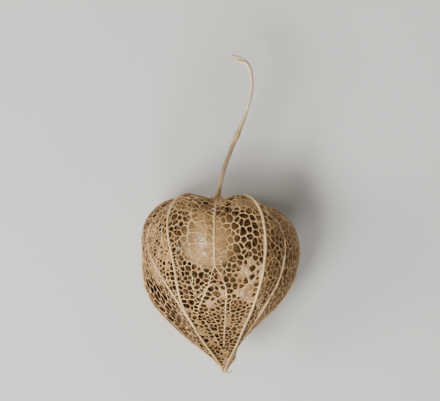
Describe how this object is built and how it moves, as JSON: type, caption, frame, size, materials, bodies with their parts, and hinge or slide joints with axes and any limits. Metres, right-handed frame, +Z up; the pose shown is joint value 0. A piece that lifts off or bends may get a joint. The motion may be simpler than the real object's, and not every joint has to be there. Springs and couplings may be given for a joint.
{
  "type": "chinese lantern seed pod",
  "caption": "Dried lantern-shaped seed husk worn down to a net of veins, with a round berry caught inside and a long bent stalk, lying on its side.",
  "frame": {"origin": "on the surface that the pod lies on, under the middle of its outline seen from above", "axes": "+Z up from the surface; +Y from the husk's pointed tip towards the stalk's torn end; +X across the husk"},
  "size_m": [0.0418, 0.0824, 0.0399],
  "materials": {
    "husk": "dry matte veins, straw to tan",
    "berry": "dried skin, tan, glossy",
    "stalk": "dry fibrous stem, buff, browner towards the husk"
  },
  "bodies": {
    "root": {"husk_net": "husk", "berry": "berry", "stalk": "stalk"}
  },
  "joints": []
}
